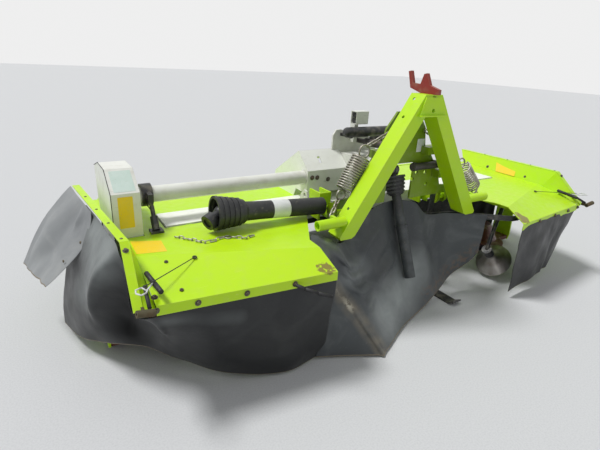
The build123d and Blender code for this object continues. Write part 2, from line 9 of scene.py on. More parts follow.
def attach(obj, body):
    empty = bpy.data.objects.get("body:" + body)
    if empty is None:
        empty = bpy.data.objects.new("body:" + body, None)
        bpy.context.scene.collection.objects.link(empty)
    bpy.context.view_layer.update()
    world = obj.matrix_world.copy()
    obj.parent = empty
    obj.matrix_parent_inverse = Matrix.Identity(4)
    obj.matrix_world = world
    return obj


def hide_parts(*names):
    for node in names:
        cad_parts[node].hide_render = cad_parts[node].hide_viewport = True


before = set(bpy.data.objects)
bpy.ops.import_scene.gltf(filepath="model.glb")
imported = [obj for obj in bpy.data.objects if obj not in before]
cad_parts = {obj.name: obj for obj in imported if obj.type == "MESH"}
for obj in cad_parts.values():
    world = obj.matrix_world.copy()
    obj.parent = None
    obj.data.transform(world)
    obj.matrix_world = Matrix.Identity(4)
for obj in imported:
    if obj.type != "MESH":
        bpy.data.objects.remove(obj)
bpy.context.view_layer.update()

# Places are written in the machine's own frame, x = 0 on its centre line, in metres,
# and moved by SHIFT into the model's frame.
SHIFT = Vector((0.130373, 0.1005, 0.0))
random.seed(7)


def place(x, y, z):
    """A place of the machine's frame in the model's frame."""
    return Vector((x, y, z)) + SHIFT


def srgb(red, green, blue):
    """Linear colour from 0-255 sRGB values."""
    linear = []
    for value in (red, green, blue):
        c = value / 255
        linear.append(c / 12.92 if c <= 0.04045 else ((c + 0.055) / 1.055) ** 2.4)
    return (*linear, 1.0)


# Materials

MIX_SOCKETS = (0, 6, 7)     # factor and the two colours of a colour mix
MIX_RESULT = 2
WORN_EDGE = 0.004
RUST_SPOT = 0.042
RUST = srgb(112, 72, 42)
CHIPPED = srgb(124, 96, 58)
RUBBED = srgb(84, 90, 92)
DUST = srgb(176, 168, 146)
CLOTH_GLOSS = 0.42
HOLLOW_GLOSS = 0.06
WEAVE = 260


class Shader:
    """A node material with the few node chains that the surfaces share."""

    def __init__(self, name, colour, roughness, metallic=0.0):
        self.material = bpy.data.materials.new(name)
        self.material.use_nodes = True
        self.nodes = self.material.node_tree.nodes
        self.links = self.material.node_tree.links
        self.bsdf = self.nodes["Principled BSDF"]
        self.bsdf.inputs["Roughness"].default_value = roughness
        self.bsdf.inputs["Metallic"].default_value = metallic
        self.bsdf.inputs["Base Color"].default_value = colour
        self.coordinates = self.nodes.new("ShaderNodeTexCoord").outputs["Object"]
        self.colour = None
        self.base = colour
        self.height = None

    def node(self, kind, **values):
        made = self.nodes.new(kind)
        for key, value in values.items():
            setattr(made, key, value)
        return made

    def stretched(self, scale, turn):
        """Coordinates drawn out and turned, for streaks."""
        mapping = self.node("ShaderNodeMapping")
        mapping.inputs["Scale"].default_value = scale
        mapping.inputs["Rotation"].default_value = turn
        self.links.new(self.coordinates, mapping.inputs["Vector"])
        return mapping.outputs["Vector"]

    def noise(self, scale, detail, vector=None, distortion=0.0):
        """Noise from 0 to 1, with most of it between 0.3 and 0.7."""
        made = self.node("ShaderNodeTexNoise")
        made.inputs["Scale"].default_value = scale
        made.inputs["Detail"].default_value = detail
        made.inputs["Distortion"].default_value = distortion
        self.links.new(vector or self.coordinates, made.inputs["Vector"])
        return made.outputs["Fac"]

    def ramp(self, value, low, high, top=1.0, bottom=0.0):
        """A value that is bottom up to low and top from high on."""
        made = self.node("ShaderNodeMapRange")
        made.inputs["From Min"].default_value = low
        made.inputs["From Max"].default_value = high
        made.inputs["To Min"].default_value = bottom
        made.inputs["To Max"].default_value = top
        self.links.new(value, made.inputs["Value"])
        return made.outputs["Result"]

    def product(self, first, second):
        """First times second, which may be a plain number."""
        made = self.node("ShaderNodeMath", operation="MULTIPLY")
        self.links.new(first, made.inputs[0])
        if isinstance(second, float):
            made.inputs[1].default_value = second
        else:
            self.links.new(second, made.inputs[1])
        return made.outputs[0]

    def most(self, first, second):
        """The larger of two values."""
        made = self.node("ShaderNodeMath", operation="MAXIMUM")
        self.links.new(first, made.inputs[0])
        self.links.new(second, made.inputs[1])
        return made.outputs[0]

    def mix(self, amount, colour):
        """Lays a colour over what is there, by an amount from 0 to 1."""
        made = self.node("ShaderNodeMix", data_type="RGBA")
        factor, below, above = (made.inputs[k] for k in MIX_SOCKETS)
        self.links.new(amount, factor)
        if self.colour is None:
            below.default_value = self.base
        else:
            self.links.new(self.colour, below)
        above.default_value = colour
        self.colour = made.outputs[MIX_RESULT]

    def rough(self, value, low, high):
        """Roughness from low to high over a noise."""
        self.links.new(self.ramp(value, 0.3, 0.7, high, low), self.bsdf.inputs["Roughness"])

    def bump(self, height, strength, distance):
        """Adds relief to what there is."""
        made = self.node("ShaderNodeBump")
        made.inputs["Strength"].default_value = strength
        made.inputs["Distance"].default_value = distance
        self.links.new(height, made.inputs["Height"])
        if self.height is not None:
            self.links.new(self.height, made.inputs["Normal"])
        self.height = made.outputs["Normal"]

    def near(self, points, radius):
        """1 at any of the points, falling to 0 at radius, with a ragged edge."""
        total = None
        for point in points:
            made = self.node("ShaderNodeVectorMath", operation="DISTANCE")
            self.links.new(self.coordinates, made.inputs[0])
            made.inputs[1].default_value = tuple(place(*point))
            value = self.ramp(made.outputs["Value"], radius, radius * 0.2)
            total = value if total is None else self.most(total, value)
        ragged = self.ramp(self.noise(45, 5), 0.3, 0.62)
        return self.ramp(self.product(total, ragged), 0.2, 0.34)

    def along(self, points, radius):
        """1 on a line through points, falling to 0 at radius."""
        total = None
        for a, b in zip(points, points[1:]):
            start, end = place(*a), place(*b)
            run = end - start
            offset = self.node("ShaderNodeVectorMath", operation="SUBTRACT")
            self.links.new(self.coordinates, offset.inputs[0])
            offset.inputs[1].default_value = tuple(start)
            share = self.node("ShaderNodeVectorMath", operation="DOT_PRODUCT")
            self.links.new(offset.outputs[0], share.inputs[0])
            share.inputs[1].default_value = tuple(run / run.length_squared)
            kept = self.ramp(share.outputs["Value"], 0.0, 1.0)
            spot = self.node("ShaderNodeVectorMath", operation="SCALE")
            spot.inputs[0].default_value = tuple(run)
            self.links.new(kept, spot.inputs["Scale"])
            gap = self.node("ShaderNodeVectorMath", operation="DISTANCE")
            self.links.new(offset.outputs[0], gap.inputs[0])
            self.links.new(spot.outputs[0], gap.inputs[1])
            value = self.ramp(gap.outputs["Value"], radius, radius * 0.15)
            total = value if total is None else self.most(total, value)
        return total

    def edges(self):
        """1 along sharp edges, in patches."""
        bevel = self.node("ShaderNodeBevel", samples=4)
        bevel.inputs["Radius"].default_value = WORN_EDGE
        geometry = self.node("ShaderNodeNewGeometry")
        made = self.node("ShaderNodeVectorMath", operation="DOT_PRODUCT")
        self.links.new(bevel.outputs["Normal"], made.inputs[0])
        self.links.new(geometry.outputs["Normal"], made.inputs[1])
        edge = self.ramp(made.outputs["Value"], 0.97, 0.8)
        return self.product(edge, self.ramp(self.noise(30, 4), 0.35, 0.6))

    def done(self):
        """The material, with its colour and relief joined to the surface."""
        if self.colour is not None:
            self.links.new(self.colour, self.bsdf.inputs["Base Color"])
        if self.height is not None:
            self.links.new(self.height, self.bsdf.inputs["Normal"])
        return self.material


def paint(name, colour, faded, worn, rust_points=(), dust=0.16):
    """Sprayed paint on sheet steel: fading, dust, fine scratches, worn edges and rust."""
    smooth = 0.34
    s = Shader(name, colour, smooth)
    s.mix(s.ramp(s.noise(2.2, 4), 0.35, 0.7, 0.8), faded)
    s.mix(s.ramp(s.noise(22, 8), 0.5, 0.75, dust), DUST)
    scratch = s.noise(9, 2, s.stretched((1.2, 40, 12), (0, 0, 0.5)))
    s.mix(s.ramp(scratch, 0.7, 0.74, 0.35), worn)
    scuff = s.noise(7, 3, s.stretched((30, 1.5, 20), (0, 0, -0.3)))
    s.mix(s.ramp(scuff, 0.69, 0.75, 0.25), DUST)
    s.mix(s.product(s.edges(), 0.6), worn)
    if rust_points:
        s.mix(s.product(s.near(rust_points, RUST_SPOT), 0.85), CHIPPED)
    s.rough(s.noise(35, 5), smooth - 0.06, smooth + 0.16)
    s.bump(s.noise(260, 2), 0.05, 0.0004)
    s.bump(s.noise(5, 2), 0.12, 0.004)
    return s.done()


def bare_metal(name, colour, stained, roughness, stain=0.5):
    """Unpainted steel with stains and a little rust."""
    s = Shader(name, colour, roughness, 0.9)
    s.mix(s.ramp(s.noise(18, 8), 0.45, 0.7, stain), stained)
    s.mix(s.ramp(s.noise(6, 4), 0.5, 0.75, stain), RUST)
    s.rough(s.noise(60, 5), roughness - 0.08, roughness + 0.2)
    s.bump(s.noise(220, 3), 0.15, 0.0006)
    return s.done()


def plastic(name, colour, faded, roughness=0.45, rubbed=()):
    """Plastic or rubber, faded and dusty, and rubbed pale along lines of (points, radius)."""
    s = Shader(name, colour, roughness)
    s.mix(s.ramp(s.noise(9, 6), 0.42, 0.75, 0.5), faded)
    for line, radius in rubbed:
        s.mix(s.product(s.along(line, radius), s.ramp(s.noise(30, 6), 0.3, 0.7, 0.9, 0.35)), RUBBED)
    s.mix(s.ramp(s.noise(55, 6), 0.58, 0.78, 0.16), DUST)
    s.rough(s.noise(40, 4), roughness - 0.1, roughness + 0.15)
    s.bump(s.noise(300, 3), 0.15, 0.0005)
    return s.done()


def skirt_cloth(name, colour, faded, dusty):
    """Coated cloth, grey with paler patches where it is dusty; its relief is still to be added."""
    s = Shader(name, colour, 0.5)
    s.mix(s.ramp(s.noise(1.6, 4, None, 0.6), 0.38, 0.7, 0.9), faded)
    s.mix(s.ramp(s.noise(5, 6, None, 1.2), 0.5, 0.85, 0.4), dusty)
    s.mix(s.ramp(s.noise(90, 4), 0.62, 0.8, 0.22), dusty)
    s.bsdf.inputs["Sheen Weight"].default_value = 0.08
    s.bsdf.inputs["Specular IOR Level"].default_value = CLOTH_GLOSS
    return s


def crest_dust_and_highlight(s, crests, colour):
    """Painted highlight, with some dust, on the crests of folds, each a line of points, a radius and an
    amount.
    """
    for line, radius, amount in crests:
        patches = s.ramp(s.noise(12, 6), 0.2, 0.8, amount, amount * 0.5)
        s.mix(s.product(s.along(line, radius), patches), colour)


def painted_shade_hollow(s, line, radius):
    """Painted shade in the pocket between folds: a dark colour, with hardly any gloss."""
    shaded = s.along(line, radius)
    s.mix(shaded, srgb(10, 11, 11))
    s.links.new(s.ramp(shaded, 0.0, 1.0, HOLLOW_GLOSS, CLOTH_GLOSS), s.bsdf.inputs["Specular IOR Level"])


def worn_crease(s, crease, hem):
    """Tan wear along a crease with white on its upper part, and mud along a hem."""
    tan, pale, mud = srgb(140, 130, 110), srgb(200, 194, 176), srgb(116, 92, 70)
    s.mix(s.product(s.along(crease, 0.050), s.ramp(s.noise(24, 6), 0.3, 0.7, 0.8, 0.2)), tan)
    s.mix(s.product(s.along(crease[:3], 0.018), s.ramp(s.noise(60, 3), 0.40, 0.5)), pale)
    s.mix(s.product(s.along(hem, 0.07), s.ramp(s.noise(40, 5), 0.45, 0.6, 0.5)), mud)


def woven(s):
    """Fine weave and small dents, and the finished material."""
    s.rough(s.noise(8, 4), 0.34, 0.56)
    weave = s.node("ShaderNodeTexWave", bands_direction="DIAGONAL")
    weave.inputs["Scale"].default_value = WEAVE
    s.links.new(s.coordinates, weave.inputs["Vector"])
    s.bump(weave.outputs["Fac"], 0.10, 0.0004)
    s.bump(s.noise(14, 4, None, 0.8), 0.18, 0.006)
    s.bump(s.noise(3.5, 3), 0.25, 0.02)
    return s.done()


def sticker(name, colour, faded):
    """Blank plastic label, sun-faded and scuffed."""
    s = Shader(name, colour, 0.38)
    s.mix(s.ramp(s.noise(30, 6), 0.4, 0.75, 0.6), faded)
    s.mix(s.ramp(s.noise(160, 4), 0.62, 0.72, 0.35), DUST)
    s.rough(s.noise(50, 4), 0.3, 0.5)
    s.bump(s.noise(90, 3), 0.08, 0.0006)
    return s.done()


# Where paint is chipped to rust, where cloth has painted highlight (partly dust) or painted shade, and
# where it is worn
LEFT_CRESTS = [
    ([(-1.50, -0.05, 0.59), (-1.50, -0.30, 0.59), (-1.49, -0.44, 0.59)], 0.17, 1.0),
    ([(-1.49, -0.44, 0.59), (-1.56, -0.34, 0.50), (-1.62, -0.24, 0.34)], 0.11, 0.6),
    ([(-1.36, -0.69, 0.40), (-1.24, -0.735, 0.37), (-1.10, -0.752, 0.36)], 0.05, 0.4),
]
# Line of the painted shade in the hollow of the rear left skirt's corner
LEFT_SHADED_HOLLOW = [(-1.455, -0.56, 0.53), (-1.470, -0.46, 0.36), (-1.440, -0.40, 0.20)]
CENTRE_CRESTS = [
    ([(-0.302, -0.70, 0.096), (-0.185, -0.64, 0.137), (-0.047, -0.61, 0.146), (0.063, -0.56, 0.234)],
     0.17, 0.95),
    ([(-0.52, -0.66, 0.36), (-0.36, -0.60, 0.36)], 0.08, 0.4),
]
RIGHT_HEM = [(0.15, -0.61, 0.08), (0.42, -0.55, 0.16), (0.54, -0.60, 0.27)]
CREASE = [(-0.592, -0.685, 0.34), (-0.542, -0.70, 0.266), (-0.488, -0.71, 0.187), (-0.441, -0.77, 0.101),
          (-0.387, -0.84, 0.012)]
HOOD_RUST = [(-0.722, -0.745, 0.499), (-0.700, -0.752, 0.497), (0.722, -0.745, 0.499),
             (0.698, -0.755, 0.497), (0.70, -0.715, 0.515)]
green = paint("green_paint", srgb(183, 229, 2), srgb(194, 230, 22), srgb(222, 232, 130), HOOD_RUST, 0.09)
# Painted shade: a darker copy of the green paint, for the headstock, which stands in shadow
green_shaded = paint("green_shaded", srgb(122, 152, 2), srgb(104, 128, 14), srgb(96, 98, 52))
white = paint("white_paint", srgb(230, 231, 223), srgb(217, 217, 208), srgb(150, 146, 134), dust=0.3)
# Painted light: a brighter, less dusty copy of the white paint, for the carrier beam and the centre cover
white_lit = paint("white_paint_lit", srgb(244, 245, 238), srgb(234, 235, 226), srgb(160, 156, 146),
               dust=0.12)
black = paint("black_paint", srgb(34, 35, 37), srgb(52, 53, 55), srgb(110, 108, 102), dust=0.35)
red = paint("red_paint", srgb(146, 34, 20), srgb(120, 40, 28), srgb(196, 170, 120), dust=0.2)
disc_red = paint("disc_paint", srgb(104, 42, 32), srgb(86, 52, 44), srgb(140, 120, 104), dust=0.5)
steel = bare_metal("worn_steel", srgb(178, 176, 172), srgb(120, 112, 104), 0.36)
dark_steel = bare_metal("dark_steel", srgb(92, 90, 88), srgb(70, 62, 56), 0.5)
spring_steel = bare_metal("spring_steel", srgb(166, 163, 154), srgb(92, 84, 72), 0.42, 0.40)
bolt_steel = bare_metal("bolt_steel", srgb(108, 104, 92), srgb(70, 60, 44), 0.45, 0.3)
pivot_steel = bare_metal("pivot_steel", srgb(96, 92, 74), srgb(92, 74, 50), 0.6, 0.6)
plastic_black = plastic("black_plastic", srgb(32, 33, 35), srgb(70, 71, 70))
plastic_worn = plastic("worn_black_plastic", srgb(32, 33, 35), srgb(64, 65, 65), 0.5,
                       [([(0, -0.45, 0.49), (0, -0.588, 0.207)], 0.09)])
rubber = plastic("black_rubber", srgb(26, 26, 27), srgb(48, 48, 49), 0.6)
# One grey cloth in copies by how light falls: painted shade for the rear, side and front skirts, a lighter
# copy for the centre skirt, painted light for the left flap. The first copy also gets painted highlight
# with some dust on its crests and painted shade in its hollow.
shader = skirt_cloth("skirt_cloth", srgb(20, 22, 23), srgb(30, 32, 34), srgb(66, 68, 67))
crest_dust_and_highlight(shader, LEFT_CRESTS, srgb(126, 132, 131))
painted_shade_hollow(shader, LEFT_SHADED_HOLLOW, 0.12)
cloth_shaded = woven(shader)
# Centre skirt: painted highlight with some dust on its crests, tan wear on a crease and mud along its hem
shader = skirt_cloth("skirt_cloth_centre", srgb(52, 56, 58), srgb(80, 85, 87), srgb(130, 135, 134))
crest_dust_and_highlight(shader, CENTRE_CRESTS, srgb(160, 166, 165))
worn_crease(shader, CREASE, RIGHT_HEM)
cloth_centre = woven(shader)
cloth_lit = woven(skirt_cloth("skirt_cloth_flap_lit", srgb(117, 120, 122), srgb(144, 147, 148),
                                srgb(170, 171, 168)))
hem_edge = plastic("skirt_hem", srgb(118, 108, 92), srgb(142, 132, 114), 0.6)
yellow_label = sticker("yellow_label", srgb(246, 210, 24), srgb(236, 208, 74))
mint_label = sticker("mint_label", srgb(206, 222, 213), srgb(190, 212, 200))
white_label = sticker("white_label", srgb(222, 224, 222), srgb(196, 198, 196))

DISCS = 7
NODE_MATERIALS = {
    "cutter_bar": disc_red, "cutter_bar_skids": dark_steel, "carrier_beam": white_lit,
    "end_plate_right": green, "end_plate_left": green, "belt_box": white, "end_gearbox": black,
    "drive_tube": white, "tube_clamp": black, "tensioner": black, "centre_gearbox": white,
    "centre_cover": white_lit, "tower": white, "headstock": green_shaded, "lower_links": green,
    "cross_shafts": dark_steel, "beam_ears": green, "upper_link": dark_steel, "accumulator": black,
    "hose_holder": white, "triangle": green, "catch": red, "shaft_hanging": plastic_worn,
    "shaft_stowed": plastic_black, "shaft_rest": white, "input_yoke": dark_steel,
    "hood_right": green, "hood_left": green, "latches": rubber, "latch_pivots": pivot_steel,
    "hood_arms_right": green, "hood_arms_left": green, "hood_front": green, "front_guard": green,
    "skirt_rail": black, "swath_disc_left": steel, "swath_disc_right": steel,
    "swath_arm_left": black, "swath_arm_right": black, "stand_sleeve": black,
    "parking_stand": black,
}
for i in range(1, DISCS + 1):
    NODE_MATERIALS[f"disc_{i}"] = disc_red
for name, material in NODE_MATERIALS.items():
    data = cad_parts[name].data
    data.materials.clear()
    data.materials.append(material)


# Mesh helpers

X_AXIS, Y_AXIS, Z_AXIS = Vector((1, 0, 0)), Vector((0, 1, 0)), Vector((0, 0, 1))
BOLT_RADIUS = 0.0085
PLATE_CORNER = 0.004
PLATE_RIM = 0.0008
PLATE_CROWN = 0.0003


def piece(name, bm, material, body, smooth=False):
    """A new object on a body, from a bmesh in the model's frame."""
    mesh = bpy.data.meshes.new(name)
    bm.to_mesh(mesh)
    bm.free()
    mesh.materials.append(material)
    for polygon in mesh.polygons:
        polygon.use_smooth = smooth
    made = bpy.data.objects.new(name, mesh)
    bpy.context.scene.collection.objects.link(made)
    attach(made, body)
    return made


def facing(direction):
    """Rotation that turns +Z to a direction."""
    return Z_AXIS.rotation_difference(Vector(direction)).to_matrix().to_4x4()


def from_to(start, end):
    """Matrix with its origin at start and +Z towards end."""
    return Matrix.Translation(start) @ facing(end - start)


def add_ring(bm, matrix, centre, first, second, radius, sides):
    """Vertices on a circle round centre, in the plane of two directions."""
    ring = []
    for k in range(sides):
        angle = 2 * math.pi * k / sides
        spot = centre + first * radius * math.cos(angle) + second * radius * math.sin(angle)
        ring.append(bm.verts.new(matrix @ spot))
    return ring


def join_rings(bm, rings):
    """Skin of four-sided faces over rings of equally many vertices."""
    sides = len(rings[0])
    for low, high in zip(rings, rings[1:]):
        for k in range(sides):
            bm.faces.new((low[k], low[(k + 1) % sides], high[(k + 1) % sides], high[k]))


def close_ends(bm, rings):
    bm.faces.new(rings[0][::-1])
    bm.faces.new(rings[-1])


def add_turned(bm, matrix, steps, sides):
    """Solid of revolution about the matrix's Z axis, through (radius, height) steps."""
    rings = [add_ring(bm, matrix, Z_AXIS * height, X_AXIS, Y_AXIS, radius, sides)
             for radius, height in steps]
    join_rings(bm, rings)
    close_ends(bm, rings)


def add_rods(bm, points, radius, sides):
    """Straight round bars from point to point."""
    spots = [place(*point) for point in points]
    for start, end in zip(spots, spots[1:]):
        add_turned(bm, from_to(start, end), [(radius, 0), (radius, (end - start).length)], sides)


def add_link(bm, matrix, length, width, wire):
    """Oval link of round wire in the matrix's XZ plane, with its long side on Z."""
    sides, steps = 8, 24
    rings = []
    for k in range(steps):
        turn = 2 * math.pi * k / steps
        out = Vector((math.cos(turn), 0, math.sin(turn)))
        stretch = (length - width) / 2 * (1 if math.sin(turn) > 0 else -1)
        centre = out * (width / 2 - wire) + Z_AXIS * stretch
        rings.append(add_ring(bm, matrix, centre, out, Y_AXIS, wire, sides))
    join_rings(bm, rings + rings[:1])


def add_chain(bm, points, width, wire):
    """Oval links along straight runs between points, every second one turned."""
    pitch = width * 1.15
    spots = [place(*point) for point in points]
    for start, end in zip(spots, spots[1:]):
        count = max(1, round((end - start).length / pitch))
        step = (end - start) / count
        for k in range(count):
            middle = start + step * (k + 0.5)
            turn = Matrix.Rotation(math.pi / 2 * (k % 2) + 0.3, 4, "Z")
            add_link(bm, Matrix.Translation(middle) @ facing(step) @ turn, step.length + 3.2 * wire,
                     width, wire)


def add_bolt(bm, spot, normal, radius):
    """Washer, hexagon head with a chamfer, and a thread stub."""
    matrix = Matrix.Translation(spot) @ facing(normal) @ Matrix.Rotation(random.uniform(0, 1), 4, "Z")
    tall = radius / BOLT_RADIUS
    washer_top, head_top, stub_top = 0.002, 0.008 * tall, 0.0115 * tall
    washer = [(radius * 1.45, 0), (radius * 1.5, 0.0012), (radius * 1.4, washer_top)]
    head = [(radius * 0.98, washer_top), (radius, 0.003), (radius, 0.0065 * tall),
            (radius * 0.86, head_top)]
    stub = [(radius * 0.5, head_top), (radius * 0.5, 0.0105 * tall), (radius * 0.42, stub_top)]
    for outline, sides in ((washer, 20), (head, 6), (stub, 12)):
        add_turned(bm, matrix, outline, sides)


def bolts(name, body, spots, radius=BOLT_RADIUS):
    """Bolt heads at (place, normal) spots, as one piece."""
    bm = bmesh.new()
    for spot, normal in spots:
        add_bolt(bm, place(*spot), normal, radius)
    piece(name, bm, bolt_steel, body)


def rivets(name, body, spots, radius=0.006):
    """Flat domed heads at (place, normal) spots, as one piece."""
    outline = [(radius, 0), (radius, 0.0008), (radius * 0.8, 0.0020), (radius * 0.4, 0.0026)]
    bm = bmesh.new()
    for spot, normal in spots:
        add_turned(bm, Matrix.Translation(place(*spot)) @ facing(normal), outline, 16)
    piece(name, bm, bolt_steel, body, True)


def other_side(spots):
    """The same (place, normal) spots on the machine's other side."""
    return [((-x, y, z), (-nx, ny, nz)) for (x, y, z), (nx, ny, nz) in spots]


def panel(x0, x1, first, second):
    """Corners of a rectangle from x0 to x1 between two edges, each at a (y, z)."""
    return [(x0, *first), (x1, *first), (x1, *second), (x0, *second)]


def plate(name, corners, thick, material, body):
    """Thin blank plate through four corners, with rounded corners, lifted by its thickness."""
    p = [place(*c) for c in corners]
    centre = sum(p, Vector()) / 4
    normal = (p[2] - p[0]).cross(p[3] - p[1]).normalized()
    outline = []
    for k in range(4):
        a, b, c = p[k - 1], p[k], p[(k + 1) % 4]
        before, after = (a - b).normalized(), (c - b).normalized()
        for step in range(5):
            t = step / 4
            outline.append(b + before * PLATE_CORNER * (1 - t) ** 2 + after * PLATE_CORNER * t ** 2)
    top = [q + (centre - q).normalized() * PLATE_RIM + normal * (thick + PLATE_CROWN) for q in outline]
    bm = bmesh.new()
    rings = [[bm.verts.new(q) for q in ring]
             for ring in (outline, [q + normal * thick for q in outline], top)]
    join_rings(bm, rings)
    close_ends(bm, rings)
    piece(name, bm, material, body)


# Cloth helpers

NONE = (0, 0, 0)
CLOTH_THICK = 0.003
HEM_FROM = 0.992      # share of the drop where the hem's edge begins
SHOULDER_AT = 0.12    # share of the drop where a shoulder is deepest
SWAG_RATIO = 1.6      # weight of a share of the width against one of the drop, in swags
CLEAR_WIDTH = 0.10    # half the smooth strip at x = 0, under the hanging shaft half
WANDER, RIPPLE, HEM_WAVE = 0.009, 0.0015, 0.004


def curve_points(stations, count):
    """Points on a smooth line through stations, equally many between any two."""
    points = [Vector(s) for s in stations]
    points = [points[0] * 2 - points[1]] + points + [points[-1] * 2 - points[-2]]
    out = []
    spans = len(points) - 3
    for k in range(count):
        at = k / (count - 1) * spans
        i = min(int(at), spans - 1)
        t = at - i
        a, b, c, d = points[i:i + 4]
        out.append(0.5 * ((2 * b) + (c - a) * t + (2 * a - 5 * b + 4 * c - d) * t * t
                          + (3 * b - a - 3 * c + d) * t ** 3))
    return out


def station_lines(stations, across):
    """Top line, hem, bellies and shoulders of a cloth, each with a value for every column."""
    return [curve_points([s[part] if part < len(s) else NONE for s in stations], across)
            for part in range(4)]


def fold_depth(folds, u, v):
    """Depth of all folds at a share u of the width and v of the drop."""
    total = 0.0
    for spot, width, depth, lean, start, end in folds:
        beside = (u - spot - lean * v) / width
        grow = max(0.0, min(1.0, (v - start) / 0.3, (end - v) / 0.25))
        total += depth * grow * grow * (3 - 2 * grow) * math.exp(-beside * beside)
    return total


def swag_depth(swags, u, v):
    """Depth of all swags there, each a soft ridge along a line on the cloth."""
    total = 0.0
    for (u0, v0), (u1, v1), width, depth in swags:
        run_u, run_v = (u1 - u0) * SWAG_RATIO, v1 - v0
        gone = ((u - u0) * SWAG_RATIO * run_u + (v - v0) * run_v) / (run_u ** 2 + run_v ** 2)
        gone = max(0.0, min(1.0, gone))
        gap = math.hypot((u - u0) * SWAG_RATIO - gone * run_u, v - v0 - gone * run_v)
        total += depth * math.exp(-(gap / width) ** 2) * (0.35 + 0.65 * math.sin(math.pi * gone))
    return total


def cloth_columns(lines, folds, swags, down, bulge, seed):
    """Points of a cloth in the machine's frame, in columns from its top line to its hem."""
    tops, hems, bellies, shoulders = lines
    last = len(tops) - 1
    columns = []
    for i in range(last + 1):
        u = i / last
        before, after = max(i - 1, 0), min(i + 1, last)
        run = (tops[after] - tops[before]).normalized() + (hems[after] - hems[before]).normalized()
        sideways = Vector((run.y, -run.x, 0)).normalized()
        column = []
        for j in range(down):
            v = min(1.0, j / (down - 2) * HEM_FROM)
            p = tops[i].lerp(hems[i], v) + bellies[i] * (4 * v * (1 - v))
            p += shoulders[i] * (v / SHOULDER_AT * math.exp(1 - v / SHOULDER_AT))
            clear = 1 - math.exp(-(p.x / CLEAR_WIDTH) ** 2) if swags else 1.0
            wander = WANDER * noise.noise(Vector((u * 5 + seed, v * 3, seed)))
            ripple = RIPPLE * noise.noise(Vector((u * 16 + seed, v * 9, seed + 3)))
            offset = bulge * math.sin(math.pi * v) * min(1, 6 * u, 6 * (1 - u))
            offset += fold_depth(folds, u, v) + clear * swag_depth(swags, u, v)
            offset += clear * min(1.0, v * 4) * (wander + ripple)
            lift = HEM_WAVE * v * noise.noise(Vector((u * 9 + seed, 0.3, seed)))
            column.append(p + sideways * offset + Vector((0, 0, max(lift, -p.z * 0.4))))
        columns.append(column)
    return columns


def cloth_piece(name, columns, material, body):
    """Smooth sheet with a thickness, its last row in the colour of the worn hem."""
    bm = bmesh.new()
    grid = [[bm.verts.new(p + SHIFT) for p in column] for column in columns]
    rows = len(columns[0]) - 1
    for left, right in zip(grid, grid[1:]):
        for j in range(rows):
            bm.faces.new((left[j], left[j + 1], right[j + 1], right[j]))
    made = piece(name, bm, material, body, True)
    made.data.materials.append(hem_edge)
    for k, polygon in enumerate(made.data.polygons):
        if k % rows == rows - 1:
            polygon.material_index = 1
    solid = made.modifiers.new("thickness", "SOLIDIFY")
    solid.thickness = CLOTH_THICK
    solid.offset = 0
    fine = made.modifiers.new("smooth", "SUBSURF")
    fine.levels = 1
    fine.render_levels = 1
    return made


def hang(name, node_name, body, material, stations, folds, across, seed, down=44, bulge=0.0,
         swags=()):
    """Cloth in place of a skirt's solid, through stations of (top, hem, belly, shoulder).

    A belly is how far the cloth's middle lies from the straight line between top and hem,
    a shoulder how far its upper part does.
    """
    lines = station_lines(stations, across)
    columns = cloth_columns(lines, folds, swags, down, bulge, seed)
    made = cloth_piece(name, columns, material, body)
    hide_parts(node_name)


# Skirts

# Each station: top, hem and, where the cloth isn't straight between them, belly and shoulder
SKIRT_REAR_LEFT = [
    ((-0.662, -0.771, 0.476), (-0.655, -0.700, 0.014), (0, -0.010, 0)),
    ((-0.83, -0.755, 0.476), (-0.82, -0.738, 0.012), (0, -0.018, 0)),
    ((-1.00, -0.738, 0.476), (-0.99, -0.702, 0.022), (0, -0.022, 0)),
    ((-1.20, -0.719, 0.474), (-1.144, -0.641, 0.050), (0, -0.026, 0)),
    ((-1.385, -0.701, 0.440), (-1.27, -0.556, 0.088), (0.01, -0.012, 0)),
    ((-1.472, -0.682, 0.456), (-1.375, -0.448, 0.120), (0.045, 0.02, 0)),
    ((-1.472, -0.60, 0.553), (-1.440, -0.385, 0.124), (-0.005, 0.03, 0)),
    ((-1.470, -0.50, 0.634), (-1.51, -0.317, 0.112), (-0.085, 0.05, 0.02)),
    ((-1.480, -0.33, 0.634), (-1.56, -0.25, 0.092), (-0.080, 0.01, 0)),
    ((-1.490, -0.15, 0.634), (-1.628, -0.14, 0.068), (-0.055, 0, 0)),
    ((-1.510, 0.055, 0.634), (-1.672, 0.045, 0.050), (-0.035, 0, 0)),
]
SKIRT_CENTRE = [
    ((-0.690, -0.672, 0.495), (-0.70, -0.715, 0.012), NONE, (0, -0.03, 0)),
    ((-0.680, -0.590, 0.530), (-0.58, -0.765, 0.011), NONE, (0, -0.09, 0.02)),
    ((-0.625, -0.495, 0.538), (-0.46, -0.824, 0.009), NONE, (0, -0.11, 0.03)),
    ((-0.560, -0.520, 0.525), (-0.40, -0.848, 0.008), NONE, (0, -0.08, 0.01)),
    ((-0.500, -0.565, 0.500), (-0.36, -0.828, 0.010)), ((-0.400, -0.490, 0.500), (-0.28, -0.788, 0.012)),
    ((-0.320, -0.462, 0.560), (-0.20, -0.752, 0.012)),
    ((-0.150, -0.420, 0.598), (-0.08, -0.700, 0.012), (0, 0.012, 0)),
    ((-0.020, -0.385, 0.599), (0.02, -0.665, 0.014), (0, 0.034, 0)),
    ((0.070, -0.390, 0.592), (0.09, -0.645, 0.022), (0, 0.028, 0)),
    ((0.140, -0.420, 0.575), (0.16, -0.625, 0.038)),
    ((0.215, -0.445, 0.505), (0.29, -0.585, 0.07)), ((0.360, -0.478, 0.501), (0.42, -0.560, 0.12)),
    ((0.510, -0.571, 0.501), (0.52, -0.590, 0.20)), ((0.560, -0.607, 0.501), (0.55, -0.608, 0.26)),
]
